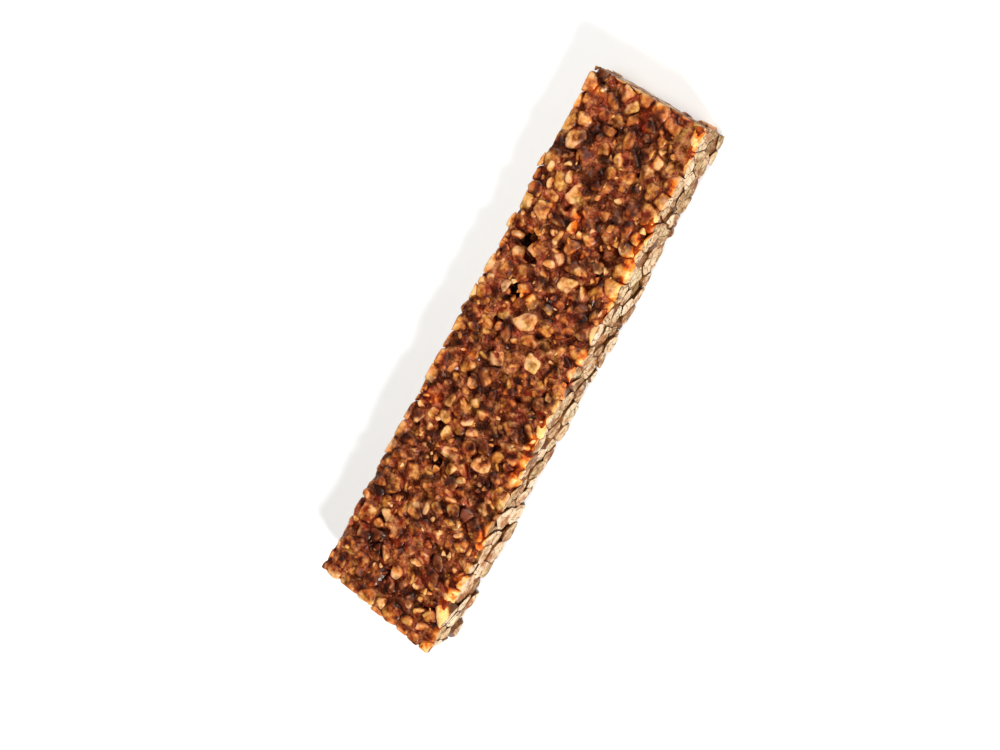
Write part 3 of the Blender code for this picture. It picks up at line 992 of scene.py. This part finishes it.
def caramel_material():
    """Caramel: the nuts' own mottling shows where it is thin; it is darker where it is thicker, and
    painted shade makes the crowded gaps and deep pits nearly black, with a painted glow near the pale
    side's upper edge.
    """
    caramel = Material("caramel", Roughness=0.20)
    speck = caramel.noise(0.45 * MM, 3.0, 0.7)
    lump = caramel.noise(1.3 * MM)
    film, crowd = caramel.value("film"), caramel.value("crowd")
    # the crowd term paints shade: darker in crowded gaps
    mottle = caramel.sum((caramel.noise(1.9 * MM, 2.0, 0.5), 2.6), (speck, 1.6), (crowd, -1.4), -0.9)
    thin = caramel.ramp(mottle, {0.0: "320800", 0.35: "6a3018", 0.65: "905434", 1.0: "b07a50"})
    # darker where the caramel is thicker, while the crowd and pit terms add painted shade that turns
    # crowded gaps and deep pits nearly black
    depth = caramel.sum((crowd, 2.2), (lump, 1.8), (speck, 1.5), (caramel.value("pit"), 1.0), -2.45)
    thick_and_shaded = caramel.ramp(depth, {0.0: "884a30", 0.3: "582414", 0.5: "280602", 0.75: "060000"})
    covered = caramel.step(caramel.sum((film, 1.0), (lump, 0.3)), 0.2, 0.45)
    colour = tinted(caramel, caramel.mix(covered, thin, thick_and_shaded), 0.85)
    # painted glow of light shining through, near the pale side's upper edge
    painted_glow_colour = caramel.ramp(mottle, {0.0: "400600", 0.5: "742004", 1.0: "a84c10"})
    colour = caramel.mix(painted_glow_share(caramel), colour, painted_glow_colour)
    pale = caramel.ramp(speck, {0.3: "5c3216", 0.7: "9c6a40"})
    colour = caramel.mix(seam_share(caramel), colour, pale)
    caramel.set(caramel.shader, "Base Color", colour)
    caramel.set(caramel.shader, "Specular IOR Level", 0.20)
    caramel.set(caramel.shader, "Specular Tint", (1.0, 0.5, 0.3, 1.0))
    caramel.bump(caramel.sum((speck, 1.0), (lump, 1.5)), 0.22 * MM)
    return caramel.made


def floor_material():
    floor = Material("pale_floor", Roughness=0.7)
    colour = floor.ramp(floor.noise(60 * MM), {0.0: "f4f3f1", 1.0: "f9f8f6"})
    floor.set(floor.shader, "Base Color", colour)
    return floor.made


def add_camera():
    """The camera, at the angle that the bar is seen from."""
    data = bpy.data.cameras.new("camera")
    data.sensor_width = SENSOR
    data.lens = LENS_SHARE * SENSOR
    data.clip_start = NEAREST
    camera = placed("camera", data)
    turn, rise = math.radians(CAMERA_AZIMUTH), math.radians(CAMERA_ELEVATION)
    ahead = Vector((math.sin(turn) * math.cos(rise), math.cos(turn) * math.cos(rise), -math.sin(rise)))
    level = ahead.cross(Vector((0, 0, 1))).normalized()
    upright = level.cross(ahead)
    roll = math.radians(CAMERA_ROLL)
    up = math.cos(roll) * upright + math.sin(roll) * level
    right = ahead.cross(up)
    place = Matrix((right, up, -ahead)).transposed().to_4x4()
    place.translation = LOOK_AT - CAMERA_DISTANCE * ahead
    camera.matrix_world = place
    bpy.context.scene.camera = camera


def add_light(name, place, size, power):
    """A square soft light that faces the bar's middle."""
    data = bpy.data.lights.new(name, "AREA")
    data.size = size
    data.energy = power
    light = placed(name, data)
    light.location = place
    light.rotation_euler = (-Vector(place)).to_track_quat("-Z", "Y").to_euler()


def add_stage():
    """The floor that the bar lies on, a white world and the lights."""
    shape = bmesh.new()
    bmesh.ops.create_grid(shape, x_segments=1, y_segments=1, size=FLOOR_SIZE)
    mesh = bpy.data.meshes.new("floor")
    shape.to_mesh(mesh)
    shape.free()
    mesh.materials.append(floor_material())
    floor = placed("floor", mesh)
    floor.location.z = cad_low[2]
    world = bpy.data.worlds.new("studio")
    world.use_nodes = True
    world.node_tree.nodes["Background"].inputs["Color"].default_value = (1, 1, 1, 1)
    world.node_tree.nodes["Background"].inputs["Strength"].default_value = WORLD_STRENGTH
    bpy.context.scene.world = world
    for light in LIGHTS:
        add_light(*light)
    bpy.context.scene.view_settings.view_transform = "Standard"


def by_size(rows, large, lean):
    """The rows as (rows, level, lean) groups, the large pieces first."""
    return [(rows[large[rows]], LARGE_BALL, lean), (rows[~large[rows]], SMALL_BALL, lean)]


def add_nuts(chunks, tones, crowds, skin, flesh):
    """The nut pieces that show: the whole ones in three shades, the cut ones and the underside's."""
    lowest, highest = reaches(chunks)
    half = np.array([WIDTH / 2, LENGTH / 2])
    crossing = ((highest[:, :2] > half - SPARE) | (lowest[:, :2] < -half + SPARE)).any(axis=1)
    outside = ((lowest[:, :2] > half + MOST_STEP) | (highest[:, :2] < -half - MOST_STEP)).any(axis=1)
    on_side = highest[:, 0] > half[0] - SPARE
    top = highest[:, 2] > THICKNESS - SHOWN_DEPTH
    under = lowest[:, 2] < SPARE
    large = chunks.radii > LARGE_RADIUS
    rows = np.nonzero(top & ~crossing)[0]
    third = len(rows) // 3 + 1
    for number, name in enumerate(("nuts_brown", "nuts_gold", "nuts_pale")):
        some = rows[np.argsort(tones[rows])][number * third : (number + 1) * third]
        nut_object(name, chunks, by_size(some, large, LEAN_UP), tones, crowds, [skin])
    rows = np.nonzero(crossing & ~outside & on_side)[0]
    groups = by_size(rows, large, LEAN_OUT)
    nut_object("nuts_cut_side", chunks, groups, tones, crowds, [skin, flesh], cut=True)
    rows = np.nonzero(crossing & ~outside & ~on_side)[0]
    groups = [(rows, SMALL_BALL, LEAN_LITTLE)]
    nut_object("nuts_cut_edges", chunks, groups, tones, crowds, [skin, flesh], cut=True)
    rows = np.nonzero(under & ~crossing & ~top)[0]
    nut_object("nuts_under", chunks, [(rows, COARSE_BALL, LEAN_DOWN)], tones, crowds, [skin])


def add_crumbs(bits, bit_tones, slivers, sliver_tones, crowds, skin):
    """The fragments and the slivers on the rolled face."""
    rows = np.arange(len(bits.middles))
    big = bits.radii > LARGE_FRAGMENT
    groups = [(rows[big], SMALL_BALL, LEAN_UP), (rows[~big], COARSE_BALL, LEAN_UP)]
    nut_object("nut_fragments", bits, groups, bit_tones, crowds, [skin])
    groups = [(np.arange(len(slivers.middles)), SMALL_BALL, LEAN_LITTLE)]
    nut_object("nut_slivers", slivers, groups, sliver_tones, crowds, [skin])


def main():
    chunks, holes = nut_chunks()
    field = Field()
    field.add(chunks)
    bits = fragment_chunks(field, holes)
    field.add(bits)
    slivers = sliver_chunks(field)
    caramel = caramel_field(field, holes)
    # crowds: how solid the space round each point is; the materials use it to paint shade in crowded gaps
    crowds = crowding(np.minimum(caramel, field.nuts()) < 0), field.low
    draw = np.random.default_rng(TONE_SEED)
    tones = draw.beta(*NUT_TONES, len(chunks.middles))
    bit_tones = draw.beta(*FRAGMENT_TONES, len(bits.middles))
    sliver_tones = draw.beta(*SLIVER_TONES, len(slivers.middles))
    skin, flesh = nut_material(), cut_material()
    add_nuts(chunks, tones, crowds, skin, flesh)
    add_crumbs(bits, bit_tones, slivers, sliver_tones, crowds, skin)
    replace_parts(caramel_object(field, caramel, crowds, caramel_material()), NODE)
    add_camera()
    add_stage()


main()
